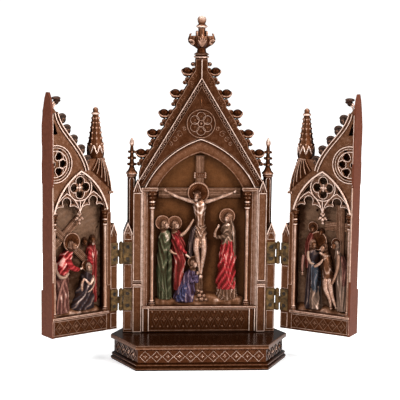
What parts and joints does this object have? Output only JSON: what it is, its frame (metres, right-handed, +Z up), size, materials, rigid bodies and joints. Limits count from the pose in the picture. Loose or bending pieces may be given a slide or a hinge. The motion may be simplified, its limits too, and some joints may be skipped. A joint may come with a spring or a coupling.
{
  "type": "triptych",
  "caption": "Cast Gothic altar piece for a desk: a gabled and arched centre panel with a relief on a stepped foot, and hinged wings that fold over it.",
  "frame": {"origin": "middle of the foot's underside", "axes": "+Z up, +X towards the right wing as seen from the front, -Y towards the front"},
  "size_m": [0.2758, 0.0856, 0.3],
  "materials": {
    "bronze_resin": "cast resin with a bronze finish, brown in the hollows and rubbed coppery on the edges",
    "aged_brass": "dull aged brass",
    "dark_screw": "blackened steel"
  },
  "bodies": {
    "centre": {"base": "bronze_resin", "centre_panel": "bronze_resin", "hinge_left_upper_fixed_leaf": "aged_brass", "hinge_left_upper_pin": "aged_brass", "hinge_left_upper_fixed_screw_lower": "dark_screw", "hinge_left_upper_fixed_screw_upper": "dark_screw", "hinge_left_lower_fixed_leaf": "aged_brass", "hinge_left_lower_pin": "aged_brass", "hinge_left_lower_fixed_screw_lower": "dark_screw", "hinge_left_lower_fixed_screw_upper": "dark_screw", "hinge_right_upper_fixed_leaf": "aged_brass", "hinge_right_upper_pin": "aged_brass", "hinge_right_upper_fixed_screw_lower": "dark_screw", "hinge_right_upper_fixed_screw_upper": "dark_screw", "hinge_right_lower_fixed_leaf": "aged_brass", "hinge_right_lower_pin": "aged_brass", "hinge_right_lower_fixed_screw_lower": "dark_screw", "hinge_right_lower_fixed_screw_upper": "dark_screw"},
    "left_wing": {"left_wing": "bronze_resin", "hinge_left_upper_wing_leaf": "aged_brass", "hinge_left_upper_wing_screw_lower": "dark_screw", "hinge_left_upper_wing_screw_upper": "dark_screw", "hinge_left_lower_wing_leaf": "aged_brass", "hinge_left_lower_wing_screw_lower": "dark_screw", "hinge_left_lower_wing_screw_upper": "dark_screw"},
    "right_wing": {"right_wing": "bronze_resin", "hinge_right_upper_wing_leaf": "aged_brass", "hinge_right_upper_wing_screw_lower": "dark_screw", "hinge_right_upper_wing_screw_upper": "dark_screw", "hinge_right_lower_wing_leaf": "aged_brass", "hinge_right_lower_wing_screw_lower": "dark_screw", "hinge_right_lower_wing_screw_upper": "dark_screw"}
  },
  "joints": [
    {"name": "left_wing_hinge", "type": "hinge", "parent": "centre", "child": "left_wing", "pos_m": [-0.06905, 0.0015, 0.0732], "axis": [0, 0, 1], "range_deg": [-32.5, 147.4]},
    {"name": "right_wing_hinge", "type": "hinge", "parent": "centre", "child": "right_wing", "pos_m": [0.06905, 0.0015, 0.0732], "axis": [0, 0, -1], "range_deg": [-32.5, 147.4]}
  ]
}
